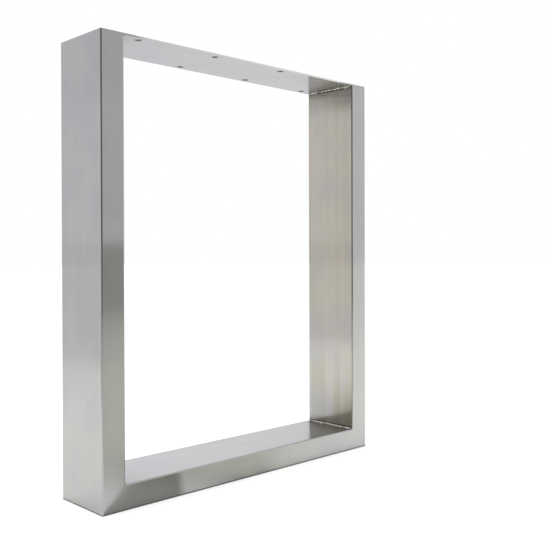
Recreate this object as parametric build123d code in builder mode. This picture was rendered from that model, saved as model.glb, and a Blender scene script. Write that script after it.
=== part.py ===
from build123d import *
import os

# A closed rectangular table leg frame of brushed stainless steel, in millimetres.
# Two uprights and a floor rail of one rectangular tube meet in mitres at the bottom corners.
# A flat plate with screw holes closes the top and joins the uprights.
# The origin is on the floor under the middle of the leg. X runs along the leg's width,
# Y through its depth with the front at -Y, and Z up.

# The leg over all
leg_width = 600.0
leg_height = 720.0

# The rectangular tube of the uprights and the rail
tube_depth = 120.0
tube_face = 40.0
tube_wall = 1.5
tube_outer_radius = 2.5
tube_inner_radius = 1.0

# The outer edge of each mitre, welded and then ground round
ground_corner_radius = 2.0

# The top plate, as wide and as deep as the leg
plate_thickness = 3.0
plate_edge_round = 0.5

# The screw holes, in rows along the stretch of plate between the uprights
hole_diameter = 12.0
hole_deburr = 0.4
holes_per_row = 4
hole_rows = 2
hole_end_margin = 32.0
hole_edge_margin = 11.5

# The weld beads in the four inside corners
bead_radius = 2.2
bead_crest = 0.3
bead_ripple_pitch = 5.0
bead_rise_share = 0.75

SIDES = {"left": -1, "right": 1}

os.makedirs("parts", exist_ok=True)

# The tube's section, with its narrow side along X
with BuildSketch() as tube_section:
    RectangleRounded(tube_face, tube_depth, tube_outer_radius)
    RectangleRounded(
        tube_face - 2 * tube_wall,
        tube_depth - 2 * tube_wall,
        tube_inner_radius,
        mode=Mode.SUBTRACT,
    )

# What lies inside the leg's outline, whose two lower corners are round
with BuildPart() as outline:
    with BuildSketch(Plane.XZ) as outline_face:
        with Locations((0, leg_height / 2)):
            Rectangle(leg_width, leg_height)
        fillet(outline_face.vertices().sort_by(Axis.Y)[:2], ground_corner_radius)
    extrude(amount=tube_depth, both=True)


def mitre(side):
    """The cut from the leg's outer lower corner to its inner one, facing the upright."""
    return Plane(origin=(side * leg_width / 2, 0, 0), z_dir=(side, 0, 1))


# The uprights, open at the top under the plate and mitred at the bottom
for side_name, side in SIDES.items():
    upright_centre = Plane((side * (leg_width - tube_face) / 2, 0, 0))
    with BuildPart() as upright:
        with BuildSketch(upright_centre):
            add(tube_section.sketch)
        extrude(amount=leg_height - plate_thickness)
        split(bisect_by=mitre(side), keep=Keep.TOP)
        add(outline.part, mode=Mode.INTERSECT)
    upright.part.label = f"{side_name}_upright"
    export_step(upright.part, f"parts/{side_name}_upright.step")

# The floor rail, lying flat and mitred at both ends
rail_start = Plane(origin=(-leg_width / 2, 0, tube_face / 2), x_dir=(0, 0, -1), z_dir=(1, 0, 0))
with BuildPart() as floor_rail:
    with BuildSketch(rail_start):
        add(tube_section.sketch)
    extrude(amount=leg_width)
    for side in SIDES.values():
        split(bisect_by=mitre(side), keep=Keep.BOTTOM)
    add(outline.part, mode=Mode.INTERSECT)
floor_rail.part.label = "floor_rail"
export_step(floor_rail.part, "parts/floor_rail.step")

# The top plate, flush with the tubes all round, drilled between the uprights
plate_underside = leg_height - plate_thickness
hole_pitch = (leg_width - 2 * (tube_face + hole_end_margin)) / (holes_per_row - 1)
hole_row_spacing = (tube_depth - 2 * hole_edge_margin) / (hole_rows - 1)
with BuildPart() as top_plate:
    with BuildSketch(Plane.XY.offset(plate_underside)):
        RectangleRounded(leg_width, tube_depth, tube_outer_radius)
    extrude(amount=plate_thickness)
    fillet(top_plate.faces().sort_by(Axis.Z)[-1].edges(), plate_edge_round)
    with Locations(Plane.XY.offset(leg_height)):
        with GridLocations(hole_pitch, hole_row_spacing, holes_per_row, hole_rows):
            Hole(hole_diameter / 2)
    hole_rims = top_plate.edges().filter_by(GeomType.CIRCLE).filter_by(lambda rim: rim.is_closed)
    chamfer(hole_rims, hole_deburr)
top_plate.part.label = "top_plate"
export_step(top_plate.part, "parts/top_plate.step")

# The weld beads: one along each inside corner, between the tubes' rounded edges. Each is a quarter
# round with a ripple for every drop of the weld, a slow rise and a short fall, turned about the line
# where its two flat faces meet.
bead_length = tube_depth - 2 * tube_outer_radius
ripple_count = max(1, round(bead_length / bead_ripple_pitch))
ripple = bead_length / ripple_count
bead_profile = [(-bead_length / 2, 0)]
for number in range(ripple_count):
    start = number * ripple - bead_length / 2
    bead_profile.append((start, bead_radius))
    bead_profile.append((start + bead_rise_share * ripple, bead_radius + bead_crest))
bead_profile.append((bead_length / 2, bead_radius))
bead_profile.append((bead_length / 2, 0))
bead_levels = {"lower": (tube_face, 1), "upper": (plate_underside, -1)}
for side_name, side in SIDES.items():
    for level_name, (corner_height, opening) in bead_levels.items():
        corner = Vector(side * (leg_width / 2 - tube_face), 0, corner_height)
        inward = Vector(-side, 0, 0)
        away = Vector(0, 0, opening)
        along = inward.cross(away)
        with BuildPart() as bead:
            with BuildSketch(Plane(origin=corner, x_dir=along, z_dir=away)):
                with BuildLine():
                    Polyline(bead_profile, close=True)
                make_face()
            revolve(axis=Axis(corner, along), revolution_arc=90)
        bead.part.label = f"{level_name}_{side_name}_bead"
        export_step(bead.part, f"parts/{level_name}_{side_name}_bead.step")
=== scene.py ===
import math
import random

import bpy
from mathutils import Matrix


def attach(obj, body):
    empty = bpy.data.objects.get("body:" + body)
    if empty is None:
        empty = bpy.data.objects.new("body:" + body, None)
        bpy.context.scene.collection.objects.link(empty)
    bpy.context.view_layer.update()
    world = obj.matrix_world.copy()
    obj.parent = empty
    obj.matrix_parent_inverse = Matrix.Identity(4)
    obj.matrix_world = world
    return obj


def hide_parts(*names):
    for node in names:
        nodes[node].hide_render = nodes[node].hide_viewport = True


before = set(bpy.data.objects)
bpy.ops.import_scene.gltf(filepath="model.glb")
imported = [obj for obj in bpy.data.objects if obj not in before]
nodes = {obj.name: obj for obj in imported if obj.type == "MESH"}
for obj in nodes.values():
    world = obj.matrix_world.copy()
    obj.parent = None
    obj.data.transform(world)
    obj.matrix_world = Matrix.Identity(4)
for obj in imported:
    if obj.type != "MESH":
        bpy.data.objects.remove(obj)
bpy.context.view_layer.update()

# The camera: it stands in front of the leg, to its left and at about the middle of its height, and
# looks almost level. Its place and lens were found from the leg's straight edges in the photograph.
camera_place = (-0.9098, -1.0772, 0.3893)
camera_turn = -0.776763
camera_pitch_down = math.radians(0.43)
camera_roll = math.radians(-0.139)
focal_px = 784.15
picture_px = 550
sensor_mm = 36.0
axis_px = (290.70, 258.13)
camera_near = 0.01

camera_data = bpy.data.cameras.new("camera")
camera_data.sensor_width = sensor_mm
camera_data.lens = focal_px / picture_px * sensor_mm
camera_data.shift_x = (picture_px / 2 - axis_px[0]) / picture_px
camera_data.shift_y = (axis_px[1] - picture_px / 2) / picture_px
camera_data.clip_start = camera_near
camera = bpy.data.objects.new("camera", camera_data)
bpy.context.scene.collection.objects.link(camera)
turned = Matrix.Rotation(camera_turn, 4, "Z")
pitched = Matrix.Rotation(math.pi / 2 - camera_pitch_down, 4, "X")
rolled = Matrix.Rotation(camera_roll, 4, "Z")
camera.matrix_world = Matrix.Translation(camera_place) @ turned @ pitched @ rolled
bpy.context.scene.camera = camera
bpy.context.scene.view_settings.view_transform = "Standard"

# The studio round the leg: a white backdrop on the far side, pale grey walls to the left and right,
# and the dim room behind the camera. Brushed steel shows mostly this, so its tones come from here.
def linear(hex_colour):
    """An sRGB hex colour as linear red, green, blue and alpha."""
    channels = [int(hex_colour[i : i + 2], 16) / 255 for i in (1, 3, 5)]
    low = [c / 12.92 if c <= 0.04045 else ((c + 0.055) / 1.055) ** 2.4 for c in channels]
    return (*low, 1.0)


def add_node(tree, kind, inputs=None, **settings):
    """Adds one shader node. An input is given as a value, or as the output that it is linked from."""
    made = tree.nodes.new(kind)
    for name, value in settings.items():
        setattr(made, name, value)
    for name, value in (inputs or {}).items():
        if isinstance(value, bpy.types.NodeSocket):
            tree.links.new(value, made.inputs[name])
        else:
            made.inputs[name].default_value = value
    return made


def fade(tree, value, start, end):
    """Goes smoothly from 0 where the value is at its start to 1 at its end."""
    return add_node(
        tree,
        "ShaderNodeMapRange",
        {"Value": value, "From Min": start, "From Max": end},
        interpolation_type="SMOOTHSTEP",
    ).outputs["Result"]


def tint(tree, factor, first, second):
    """Mixes two colours, each a hex value or an output."""
    first = linear(first) if isinstance(first, str) else first
    second = linear(second) if isinstance(second, str) else second
    return add_node(
        tree, "ShaderNodeMixRGB", {"Fac": factor, "Color1": first, "Color2": second}
    ).outputs["Color"]


def set_stops(ramp, stops):
    """Gives a colour ramp its stops, each a place from 0 to 1 and a hex colour."""
    for number, (place, colour) in enumerate(stops):
        stop = ramp.elements[number] if number < 2 else ramp.elements.new(1)
        stop.position = place
        stop.color = linear(colour)


# The walls' tone at each bearing from the leg, in degrees from +X towards +Y. The left wall ends low,
# under the dim upper room.
wall_tones = [
    (-180, "#b0aea8"),
    (-165, "#6c6c6b"),
    (-134, "#646463"),
    (-105, "#74736f"),
    (-84, "#a0a09c"),
    (-60, "#cacaca"),
    (-51, "#cccccb"),
    (-41, "#e4e4e2"),
    (-15, "#f4f4f4"),
    (5, "#f1f1f3"),
    (42, "#ededee"),
    (60, "#f6f6f9"),
    (85, "#f1f1f3"),
    (105, "#e6e6e9"),
    (119, "#d9d8dc"),
    (137, "#edece9"),
    (140, "#dcd9d2"),
    (146, "#c4c0b6"),
    (160, "#bebab2"),
    (180, "#b0aea8"),
]
left_wall_start = 119
upper_tones = [tone for tone in wall_tones if tone[0] <= left_wall_start] + [
    (126, "#dbdadd"),
    (132, "#b6b4ad"),
    (160, "#a4a29a"),
    (180, "#b0aea8"),
]
upper_room = (0.170, 0.196)
ceiling_height = (0.3, 0.8)
ceiling_white = "#f4f4f4"
backdrop_white = "#ffffff"


def tone_round(tree, direction, tones):
    """A tone that goes round the leg with the direction's bearing."""
    bearing = add_node(
        tree, "ShaderNodeTexGradient", {"Vector": direction}, gradient_type="RADIAL"
    )
    ring = add_node(tree, "ShaderNodeValToRGB", {"Fac": bearing.outputs["Fac"]})
    set_stops(ring.color_ramp, [((degrees + 180) / 360, tone) for degrees, tone in tones])
    return ring.outputs["Color"]


# The floor's tone far from the leg, where it meets the walls a little above the level of the eye
far_tones = [
    (-180, "#868582"),
    (-160, "#828281"),
    (-134, "#848482"),
    (-110, "#868581"),
    (-85, "#8d8c88"),
    (-61, "#959591"),
    (-53, "#a0a09c"),
    (-41, "#efefec"),
    (-15, "#f4f4f4"),
    (5, "#f1f1f2"),
    (40, "#dfdfe1"),
    (65, "#e0e0e3"),
    (85, "#ebebed"),
    (105, "#d9d9da"),
    (119, "#d3d3d4"),
    (137, "#e3e1dd"),
    (141, "#d0cdc6"),
    (160, "#a09e98"),
    (180, "#868582"),
]
horizon = (0.009, 0.014)

world = bpy.data.worlds.new("studio")
bpy.context.scene.world = world
world.use_nodes = True
sky = world.node_tree
sky.nodes.clear()
look = add_node(sky, "ShaderNodeTexCoord").outputs["Generated"]
rise = add_node(sky, "ShaderNodeSeparateXYZ", {"Vector": look}).outputs["Z"]
low_walls = tone_round(sky, look, wall_tones)
high_walls = tone_round(sky, look, upper_tones)
far_floor = tone_round(sky, look, far_tones)
walls = tint(sky, fade(sky, rise, *upper_room), low_walls, high_walls)
walls = tint(sky, fade(sky, rise, *horizon), far_floor, walls)
room = tint(sky, fade(sky, rise, *ceiling_height), walls, ceiling_white)
room_light = add_node(sky, "ShaderNodeBackground", {"Color": room})
white_light = add_node(sky, "ShaderNodeBackground", {"Color": linear(backdrop_white)})
seen = add_node(sky, "ShaderNodeLightPath").outputs["Is Camera Ray"]
sky_shader = add_node(
    sky, "ShaderNodeMixShader", {"Fac": seen, 1: room_light.outputs[0], 2: white_light.outputs[0]}
)
add_node(sky, "ShaderNodeOutputWorld", {"Surface": sky_shader.outputs[0]})

# The floor: a white sheet under the leg, which ends to the leg's left, with painted light on it that
# dims towards the room. The metal mirrors it like that, but the camera sees it white right across, with
# the leg's soft shadow.
floor_size = 40.0
leg_width = 0.600
tube_depth = 0.120
floor_colour = "#e6e6e6"
floor_lift = 0.5
floor_lift_white = "#ffffff"
mirrored_lift = 0.11
# Painted shade in the floor that only the steel mirrors: black under the leg, and a dim olive patch.
contact_painted_shade = "#000000"
contact_reach = 0.003
patch_painted_shade = "#3a3612"
patch_slant = 0.69
patch_taper = 0.37
patch_start = (-0.008, -0.002)
patch_end = (-0.166, -0.142)
patch_front = (0.0, -0.002)
patch_share = 0.6
sheet_edge = (-1.16, -1.08)
sheet_front = (0.2, -0.4)
sheet_dims = (4.8, 0.3)
# Painted light on the sheet close to the leg at each bearing, dimmer in front of the leg.
near_tones = [
    (-180, "#f8f7f5"),
    (-165, "#fbfaf8"),
    (-150, "#f4f3f1"),
    (-130, "#d6d5d0"),
    (-112, "#cac9c2"),
    (-89, "#d3d2c8"),
    (-62, "#d6d5cb"),
    (-38, "#faf8f0"),
    (-20, "#fdfdfb"),
    (20, "#fbfbfa"),
    (42, "#ececed"),
    (60, "#e2e2e5"),
    (100, "#e5e5e5"),
    (125, "#f6f6f6"),
    (145, "#f8f8f5"),
    (180, "#f8f7f5"),
]


def maths(tree, operation, first, second=0.0):
    """The result of one Math node."""
    return add_node(tree, "ShaderNodeMath", {0: first, 1: second}, operation=operation).outputs[0]


bpy.ops.object.select_all(action="DESELECT")
bpy.ops.mesh.primitive_plane_add(size=floor_size, location=(0, 0, 0))
floor = bpy.context.object
floor.name = "floor"
floor_paint = bpy.data.materials.new("matt_white_floor")
floor_paint.use_nodes = True
tree = floor_paint.node_tree
tree.nodes.clear()
spot = add_node(tree, "ShaderNodeTexCoord").outputs["Object"]
distance = add_node(tree, "ShaderNodeVectorMath", {0: spot}, operation="LENGTH").outputs["Value"]
nearness = add_node(
    tree,
    "ShaderNodeMapRange",
    {"Value": distance, "From Min": sheet_dims[0], "From Max": sheet_dims[1]},
).outputs["Result"]
floor_axes = add_node(tree, "ShaderNodeSeparateXYZ", {"Vector": spot}).outputs
right_of_edge = fade(tree, floor_axes["X"], *sheet_edge)
in_front = fade(tree, floor_axes["Y"], *sheet_front)
sheet = maths(tree, "MULTIPLY", nearness, maths(tree, "MAXIMUM", right_of_edge, in_front))
floor_tone = tint(
    tree, sheet, tone_round(tree, spot, far_tones), tone_round(tree, spot, near_tones)
)

# The floor right under the leg and close beside it is dark. In the floor that the steel mirrors it is
# painted black there as contact shade, and a dim patch of painted shade lies before the leg's left
# half.
offset_x = maths(tree, "SUBTRACT", maths(tree, "ABSOLUTE", floor_axes["X"]), leg_width / 2)
offset_y = maths(tree, "SUBTRACT", maths(tree, "ABSOLUTE", floor_axes["Y"]), tube_depth / 2)
outside = maths(tree, "MAXIMUM", offset_x, offset_y)
clear_of_leg = fade(tree, outside, -contact_reach / 2, contact_reach)
before_leg = maths(tree, "ADD", floor_axes["Y"], tube_depth / 2)
patch_across = maths(tree, "ADD", floor_axes["X"], maths(tree, "MULTIPLY", before_leg, patch_slant))
patch_offset = maths(tree, "MULTIPLY_ADD", before_leg, patch_taper)
tree.links.new(maths(tree, "ADD", patch_across, leg_width / 2), patch_offset.node.inputs[2])
patch = maths(
    tree,
    "MULTIPLY",
    fade(tree, patch_offset, *patch_start),
    fade(tree, patch_across, patch_end[1], patch_end[0]),
)
patch = maths(tree, "MULTIPLY", patch, fade(tree, before_leg, *patch_front))
# The painted shade patch before the leg's left half.
floor_tone = tint(tree, maths(tree, "MULTIPLY", patch, patch_share), floor_tone, patch_painted_shade)


def lit_floor(paint, lift_colour, lift_share):
    """The floor as the lamps light it, lifted a little so that it stays white beside the leg."""
    lift_share = maths(tree, "MULTIPLY", clear_of_leg, lift_share)
    lit = add_node(tree, "ShaderNodeBsdfDiffuse", {"Color": paint}).outputs[0]
    lift = add_node(
        tree, "ShaderNodeEmission", {"Color": lift_colour, "Strength": lift_share}
    ).outputs[0]
    return add_node(tree, "ShaderNodeAddShader", {0: lit, 1: lift}).outputs[0]


# Painted contact shade: the mirrored floor is painted black under the leg.
toned_paint = tint(tree, clear_of_leg, contact_painted_shade, floor_tone)
white_floor = lit_floor(linear(floor_colour), linear(floor_lift_white), floor_lift)
mirrored_floor = lit_floor(toned_paint, floor_tone, mirrored_lift)
floor_shader = add_node(
    tree,
    "ShaderNodeMixShader",
    {
        "Fac": add_node(tree, "ShaderNodeLightPath").outputs["Is Glossy Ray"],
        1: white_floor,
        2: mirrored_floor,
    },
).outputs[0]
add_node(tree, "ShaderNodeOutputMaterial", {"Surface": floor_shader})
floor.data.materials.append(floor_paint)

# A broad, weak sun through a diffuser overhead: it lays the soft shadow on the floor. The steel
# doesn't mirror it, because the room round it already holds all that the steel should show.
sun_strength = 0.6
sun_spread = math.radians(60)
sun_tilt = (math.radians(-20), math.radians(-15), 0)

sun_data = bpy.data.lights.new("overhead_softbox", "SUN")
sun_data.energy = sun_strength
sun_data.angle = sun_spread
sun = bpy.data.objects.new("overhead_softbox", sun_data)
sun.rotation_euler = sun_tilt
sun.visible_glossy = False
bpy.context.scene.collection.objects.link(sun)

# The tubes: two uprights and a floor rail of welded stainless steel tube, 120 x 40 mm. A belt has
# brushed each face along the tube's length, and the rolled corners are left a little darker.
tube_face = 0.040
corner_round = 0.0025
plate_underside = 0.717
plate_top = 0.720
face_margin = 0.0002

# Brush lines are drawn about 0.8 mm wide, coarser than real 240 grit ones, so that some still show.
line_width = 0.0008
line_length = 0.090
line_contrast = (0.3, 0.7)
line_share = 0.018
band_width = 0.011
band_length = 0.600
band_contrast = (0.35, 0.65)
band_share = 0.03
groove_grey = "#6a6864"

# Cloudy patches some 70 mm across are where the belt pressed harder or lighter.
blotches_per_metre = 14.0
blotch_contrast = (0.4, 0.65)
blotch_share = 0.5
blotch_grey = "#c3c3c8"

steel = "#cbcbcb"
steel_inside = "#d1cdc6"
streak_inside = "#c8c4b2"
streak_width = 0.024
streak_contrast = (0.42, 0.62)
streak_share = 0.35
smudge_inside = "#b4b498"
smudge_height = (0.24, 0.09)
smudge_share = 0.45
front_strip = (-0.022, -0.050)
corner_steel = "#bebebe"
corner_blend = (0.0006, 0.0015)
inside_edge = 0.0005

# Beside each weld the steel is painted with shade: dark close up, a broader shade further off that
# deepens towards the front, and on the uprights a band of shade by each weld. It is also scrubbed matt.
weld_painted_shade = "#4c4943"
weld_reach = 0.0030
weld_fade = 0.0048
weld_wander = 0.004
corner_shade_reach = {tube_face: 0.110, plate_underside: 0.060}
corner_shade_share = {"Z": 0.43, "X": 0.12}
corner_shade_front = (0.04, -0.055)
shade_band_reach = (0.034, 0.018)
shade_band_slant = 0.15
shade_band_share = 0.42
scrub_reach = 0.055
scrub_rough = 0.05
seam_width = 0.0012
seam_share = 0.05
seam_grey = "#5f5d59"

# The plate's ground edges are lighter and rougher between the uprights, and its bores are duller.
edge_steel = "#f4f4f3"
edge_blend = (-0.0004, -0.0001)
edge_rough = 0.15
mill_edge = (0.245, 0.215)
bore_steel = "#b6b6b8"
bore_margin = 0.0001
bore_inset = 0.002

steel_rough = (0.12, 0.135)
line_relief = 0.25
blotch_relief = 0.6
relief_strength = 0.05
relief_depth = 0.0001
brush_lean = 0.01


def beyond(tree, value, centre, half):
    """How far a coordinate lies outside a band about its centre."""
    offset = maths(tree, "ABSOLUTE", maths(tree, "SUBTRACT", value, centre))
    return maths(tree, "SUBTRACT", offset, half)


def brushed_steel(name, along, ground_edges=False):
    """Stainless steel brushed along "X" or "Z": the gloss spreads across the brush lines."""
    material = bpy.data.materials.new(name)
    material.use_nodes = True
    tree = material.node_tree
    tree.nodes.clear()
    place = add_node(tree, "ShaderNodeTexCoord").outputs["Object"]
    axes = add_node(tree, "ShaderNodeSeparateXYZ", {"Vector": place}).outputs
    side = maths(tree, "ABSOLUTE", axes["X"])
    depth = maths(tree, "ABSOLUTE", axes["Y"])

    def grain(width, length, detail):
        scale = [1 / width] * 3
        scale["XYZ".index(along)] = 1 / length
        stretched = add_node(tree, "ShaderNodeMapping", {"Vector": place, "Scale": scale})
        return add_node(
            tree,
            "ShaderNodeTexNoise",
            {"Vector": stretched.outputs["Vector"], "Scale": 1.0, "Detail": detail},
        ).outputs["Fac"]

    lines = grain(line_width, line_length, 2.0)
    bands = grain(band_width, band_length, 1.0)
    blotches = add_node(
        tree, "ShaderNodeTexNoise", {"Vector": place, "Scale": blotches_per_metre, "Detail": 2.0}
    ).outputs["Fac"]
    inner = leg_width / 2 - tube_face
    within = maths(tree, "LESS_THAN", side, inner + face_margin)
    colour = linear(steel)
    if along == "Z":
        colour = tint(tree, within, colour, steel_inside)
        streaks = fade(tree, grain(streak_width, band_length, 0.0), *streak_contrast)
        streaked = maths(tree, "MULTIPLY", maths(tree, "MULTIPLY", streaks, within), streak_share)
        colour = tint(tree, streaked, colour, streak_inside)
        smudged = maths(tree, "MAXIMUM", streaks, fade(tree, axes["Y"], *front_strip))
        smudged = maths(tree, "MULTIPLY", smudged, fade(tree, axes["Z"], *smudge_height))
        smudged = maths(tree, "MULTIPLY", maths(tree, "MULTIPLY", smudged, within), smudge_share)
        colour = tint(tree, smudged, colour, smudge_inside)
    for pattern, contrast, share, shade in (
        (blotches, blotch_contrast, blotch_share, blotch_grey),
        (bands, band_contrast, band_share, groove_grey),
        (lines, line_contrast, line_share, groove_grey),
    ):
        marked = maths(tree, "MULTIPLY", fade(tree, pattern, *contrast), share)
        colour = tint(tree, marked, colour, shade)

    flat_face = tube_face / 2 - corner_round
    if along == "Z":
        narrow_offset = beyond(tree, side, (leg_width - tube_face) / 2, flat_face)
    else:
        narrow_offset = beyond(tree, axes["Z"], tube_face / 2, flat_face)
    depth_offset = beyond(tree, depth, 0.0, tube_depth / 2 - corner_round)
    on_corner = fade(tree, maths(tree, "MINIMUM", narrow_offset, depth_offset), *corner_blend)
    colour = tint(tree, on_corner, colour, corner_steel)

    flat = add_node(tree, "ShaderNodeCombineXYZ", {"X": side, "Z": axes["Z"]}).outputs[0]
    weld_crease_shade = None
    corner_shade = None
    shade_band = None
    scrubbed = None
    for corner_height in (tube_face, plate_underside):
        gap = add_node(
            tree,
            "ShaderNodeVectorMath",
            {0: flat, 1: (inner, 0, corner_height)},
            operation="DISTANCE",
        ).outputs["Value"]
        uneven = maths(tree, "MULTIPLY_ADD", blotches, weld_wander)
        uneven.node.inputs[2].default_value = -weld_wander / 2
        # Painted shade, dark close to the weld.
        shade = fade(tree, maths(tree, "ADD", gap, uneven), weld_fade, weld_reach)
        weld_crease_shade = shade if weld_crease_shade is None else maths(tree, "MAXIMUM", weld_crease_shade, shade)
        # A broader painted shade further from the weld.
        shade_halo = fade(tree, gap, corner_shade_reach[corner_height], weld_fade)
        corner_shade = shade_halo if corner_shade is None else maths(tree, "MAXIMUM", corner_shade, shade_halo)
        # A band of painted shade on the uprights, deeper towards the front.
        set_back = maths(tree, "ADD", axes["Y"], tube_depth / 2)
        set_back = maths(tree, "MULTIPLY", set_back, shade_band_slant)
        band_of_shade = fade(tree, maths(tree, "ADD", gap, set_back), *shade_band_reach)
        shade_band = band_of_shade if shade_band is None else maths(tree, "MAXIMUM", shade_band, band_of_shade)
        rubbed = fade(tree, gap, scrub_reach, weld_fade)
        scrubbed = rubbed if scrubbed is None else maths(tree, "MAXIMUM", scrubbed, rubbed)
    if along == "Z":
        facing_in = within
    else:
        over_rail = maths(tree, "GREATER_THAN", axes["Z"], tube_face - face_margin)
        under_plate = maths(tree, "LESS_THAN", axes["Z"], plate_underside + face_margin)
        facing_in = maths(tree, "MULTIPLY", over_rail, under_plate)
    inside = fade(tree, depth, tube_depth / 2 - inside_edge, tube_depth / 2 - corner_round)
    inside = maths(tree, "MULTIPLY", inside, facing_in)
    weld_crease_shade = maths(tree, "MULTIPLY", weld_crease_shade, inside)
    corner_shade = maths(tree, "MULTIPLY", maths(tree, "MULTIPLY", corner_shade, corner_shade_share[along]), inside)
    corner_shade = maths(tree, "MULTIPLY", corner_shade, fade(tree, axes["Y"], *corner_shade_front))
    if along == "Z":
        shade_band = maths(tree, "MULTIPLY", shade_band, shade_band_share)
        shade_band = maths(tree, "MULTIPLY", shade_band, inside)
        corner_shade = maths(tree, "MAXIMUM", corner_shade, shade_band)
    # The painted shade beside the welds goes into the steel's colour.
    colour = tint(tree, weld_crease_shade, colour, weld_painted_shade)
    colour = tint(tree, corner_shade, colour, weld_painted_shade)

    off_mitre = maths(tree, "SUBTRACT", maths(tree, "ADD", side, axes["Z"]), leg_width / 2)
    off_mitre = maths(tree, "ABSOLUTE", off_mitre)
    on_seam = fade(tree, off_mitre, seam_width, seam_width / 4)
    on_seam = maths(tree, "MULTIPLY", on_seam, seam_share)
    colour = tint(tree, on_seam, colour, seam_grey)

    rough = add_node(
        tree,
        "ShaderNodeMapRange",
        {
            "Value": lines,
            "From Min": line_contrast[0],
            "From Max": line_contrast[1],
            "To Min": steel_rough[0],
            "To Max": steel_rough[1],
        },
    ).outputs["Result"]
    scrubbed = maths(tree, "MULTIPLY", maths(tree, "MULTIPLY", scrubbed, inside), scrub_rough)
    rough = maths(tree, "ADD", rough, scrubbed)
    if ground_edges:
        edge_x = maths(tree, "SUBTRACT", side, leg_width / 2)
        edge_y = maths(tree, "SUBTRACT", depth, tube_depth / 2)
        on_edge = fade(tree, maths(tree, "MAXIMUM", edge_x, edge_y), *edge_blend)
        on_edge = maths(tree, "MULTIPLY", on_edge, fade(tree, side, *mill_edge))
        colour = tint(tree, on_edge, colour, edge_steel)
        rough = maths(tree, "ADD", rough, maths(tree, "MULTIPLY", on_edge, edge_rough))
        above = maths(tree, "GREATER_THAN", axes["Z"], plate_underside + bore_margin)
        below = maths(tree, "LESS_THAN", axes["Z"], plate_top - bore_margin)
        off_edges = maths(tree, "LESS_THAN", depth, tube_depth / 2 - bore_inset)
        bored = maths(tree, "MULTIPLY", above, below)
        bored = maths(tree, "MULTIPLY", bored, maths(tree, "LESS_THAN", side, inner))
        bored = maths(tree, "MULTIPLY", bored, off_edges)
        colour = tint(tree, bored, colour, bore_steel)
    relief = maths(tree, "MULTIPLY_ADD", lines, line_relief)
    tree.links.new(maths(tree, "MULTIPLY", blotches, blotch_relief), relief.node.inputs[2])
    bump = add_node(
        tree,
        "ShaderNodeBump",
        {"Height": relief, "Strength": relief_strength, "Distance": relief_depth},
    ).outputs["Normal"]
    brush_axis = add_node(tree, "ShaderNodeCombineXYZ", {along: 1.0, "Y": brush_lean}).outputs[0]
    surface = add_node(
        tree,
        "ShaderNodeBsdfPrincipled",
        {
            "Base Color": colour,
            "Metallic": 1.0,
            "Roughness": rough,
            "Anisotropic": 1.0,
            "Anisotropic Rotation": 0.25,
            "Tangent": brush_axis,
            "Normal": bump,
        },
    )
    add_node(tree, "ShaderNodeOutputMaterial", {"Surface": surface.outputs[0]})
    return material


def dress(node_name, material):
    """Gives a CAD node its material."""
    node = nodes[node_name]
    node.data.materials.clear()
    node.data.materials.append(material)


upright_steel = brushed_steel("stainless_tube_brushed_upright", "Z")
rail_steel = brushed_steel("stainless_tube_brushed_level", "X")
dress("left_upright", upright_steel)
dress("right_upright", upright_steel)
dress("floor_rail", rail_steel)

# The top plate: 3 mm stainless strip, cut to the tubes' outline and brushed along its length before
# it was drilled. Its edges were welded to the uprights and ground flush.
plate_steel = brushed_steel("stainless_strip_brushed", "X", ground_edges=True)
dress("top_plate", plate_steel)

# The weld beads: a fillet weld in each inside corner, laid as overlapping drops of molten steel, 2.6 mm
# apart and left as they cooled, so they differ in size, wander a little and carry a few fat tacks.
bead_length = 0.115
drop_pitch = 0.0026
drops_alike = 2
drop_radius = (0.0018, 0.0026)
drop_uneven = (0.9, 1.1)
drop_wander = (-0.0002, 0.0003)
drop_lean = (-0.2, 0.2)
drop_stretch = 0.85
end_size = 0.8
end_taper = 0.012
tack_radius = 0.0036
bead_voxel = 0.00022
bead_room = 0.006
smooth_below = math.radians(40)

# The cooled steel is bright with dull flecks of about 1 mm and brown oxide marks of about 3 mm.
bead_bright = "#f2f1ed"
bead_dull = "#d6d2c8"
flecks_per_metre = 900.0
fleck_contrast = (0.35, 0.7)
bead_oxide = "#7d776a"
oxide_per_metre = 340.0
oxide_contrast = (0.5, 0.64)

bead_steel = bpy.data.materials.new("stainless_weld_as_laid")
bead_steel.use_nodes = True
tree = bead_steel.node_tree
tree.nodes.clear()
place = add_node(tree, "ShaderNodeTexCoord").outputs["Object"]
flecks = add_node(
    tree, "ShaderNodeTexNoise", {"Vector": place, "Scale": flecks_per_metre, "Detail": 2.0}
).outputs["Fac"]
bead_colour = tint(tree, fade(tree, flecks, *fleck_contrast), bead_bright, bead_dull)
oxide = add_node(
    tree, "ShaderNodeTexNoise", {"Vector": place, "Scale": oxide_per_metre, "Detail": 1.0}
).outputs["Fac"]
bead_colour = tint(tree, fade(tree, oxide, *oxide_contrast), bead_colour, bead_oxide)
surface = add_node(
    tree,
    "ShaderNodeBsdfPrincipled",
    {"Base Color": bead_colour, "Metallic": 1.0, "Roughness": 0.24},
)
add_node(tree, "ShaderNodeOutputMaterial", {"Surface": surface.outputs[0]})


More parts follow.
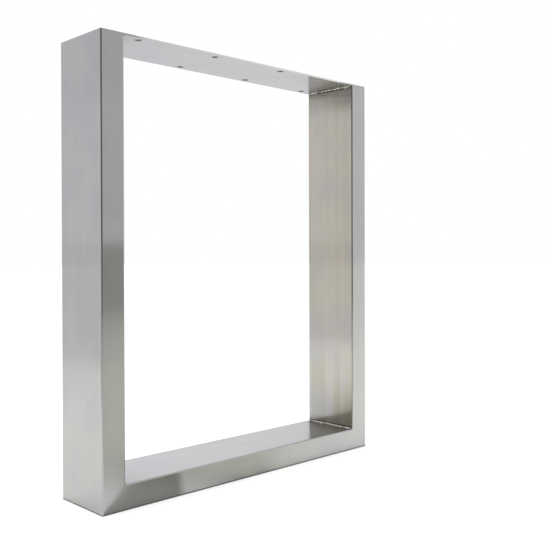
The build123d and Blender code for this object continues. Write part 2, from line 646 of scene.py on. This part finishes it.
def lay_bead(name, seed, corner, quarter_turns, tacks):
    """Models one bead round the origin, between +X and +Z, then turns it into its corner."""
    random.seed(seed)
    bpy.ops.object.select_all(action="DESELECT")
    drops = []
    for number in range(int(bead_length / drop_pitch) + 1):
        along = number * drop_pitch - bead_length / 2
        if number % drops_alike == 0:
            swell = random.uniform(*drop_radius)
        taper = min(1.0, end_size + (bead_length / 2 - abs(along)) / end_taper)
        radius = swell * random.uniform(*drop_uneven) * taper
        if any(abs(along - tack) < drop_pitch / 2 for tack in tacks):
            radius = tack_radius
        bpy.ops.mesh.primitive_ico_sphere_add(
            subdivisions=3,
            radius=radius,
            location=(random.uniform(*drop_wander), along, random.uniform(*drop_wander)),
            rotation=(random.uniform(*drop_lean), 0, random.uniform(*drop_lean)),
            scale=(1, drop_stretch, 1),
        )
        drops.append(bpy.context.object)
    for drop in drops:
        drop.select_set(True)
    bpy.ops.object.join()
    bead = bpy.context.object
    bead.name = f"{name}_weld"
    bead.data.name = f"{name}_weld"
    bpy.ops.object.transform_apply(location=True, rotation=True, scale=True)
    melt = bead.modifiers.new("melt", "REMESH")
    melt.mode = "VOXEL"
    melt.voxel_size = bead_voxel
    bpy.ops.object.modifier_apply(modifier="melt")

    # A box of the corner's own quarter keeps only what lies between the two faces it joins.
    bpy.ops.object.select_all(action="DESELECT")
    bpy.ops.mesh.primitive_cube_add(
        size=1,
        location=(bead_room / 2, 0, bead_room / 2),
        scale=(bead_room, bead_length, bead_room),
    )
    quarter = bpy.context.object
    bpy.ops.object.transform_apply(location=True, rotation=True, scale=True)
    cut = bead.modifiers.new("cut", "BOOLEAN")
    cut.operation = "INTERSECT"
    cut.solver = "EXACT"
    cut.object = quarter
    bpy.ops.object.select_all(action="DESELECT")
    bead.select_set(True)
    bpy.context.view_layer.objects.active = bead
    bpy.ops.object.modifier_apply(modifier="cut")
    bpy.data.objects.remove(quarter)
    bead.rotation_euler = (0, quarter_turns * math.pi / 2, 0)
    bead.location = corner
    bpy.ops.object.transform_apply(location=True, rotation=True, scale=True)
    bpy.ops.object.shade_smooth_by_angle(angle=smooth_below)
    bead.data.materials.append(bead_steel)
    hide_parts(name)
    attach(bead, "root")


inside_x = leg_width / 2 - tube_face
left_foot = (-inside_x, 0, tube_face)
right_foot = (inside_x, 0, tube_face)
right_head = (inside_x, 0, plate_underside)
left_head = (-inside_x, 0, plate_underside)
lay_bead("lower_left_bead", seed=11, corner=left_foot, quarter_turns=0, tacks=(-0.031, 0.012))
lay_bead("lower_right_bead", seed=12, corner=right_foot, quarter_turns=-1, tacks=(0.022,))
lay_bead("upper_right_bead", seed=13, corner=right_head, quarter_turns=2, tacks=(0.035, -0.016, -0.041))
lay_bead("upper_left_bead", seed=14, corner=left_head, quarter_turns=1, tacks=(-0.02, 0.04))
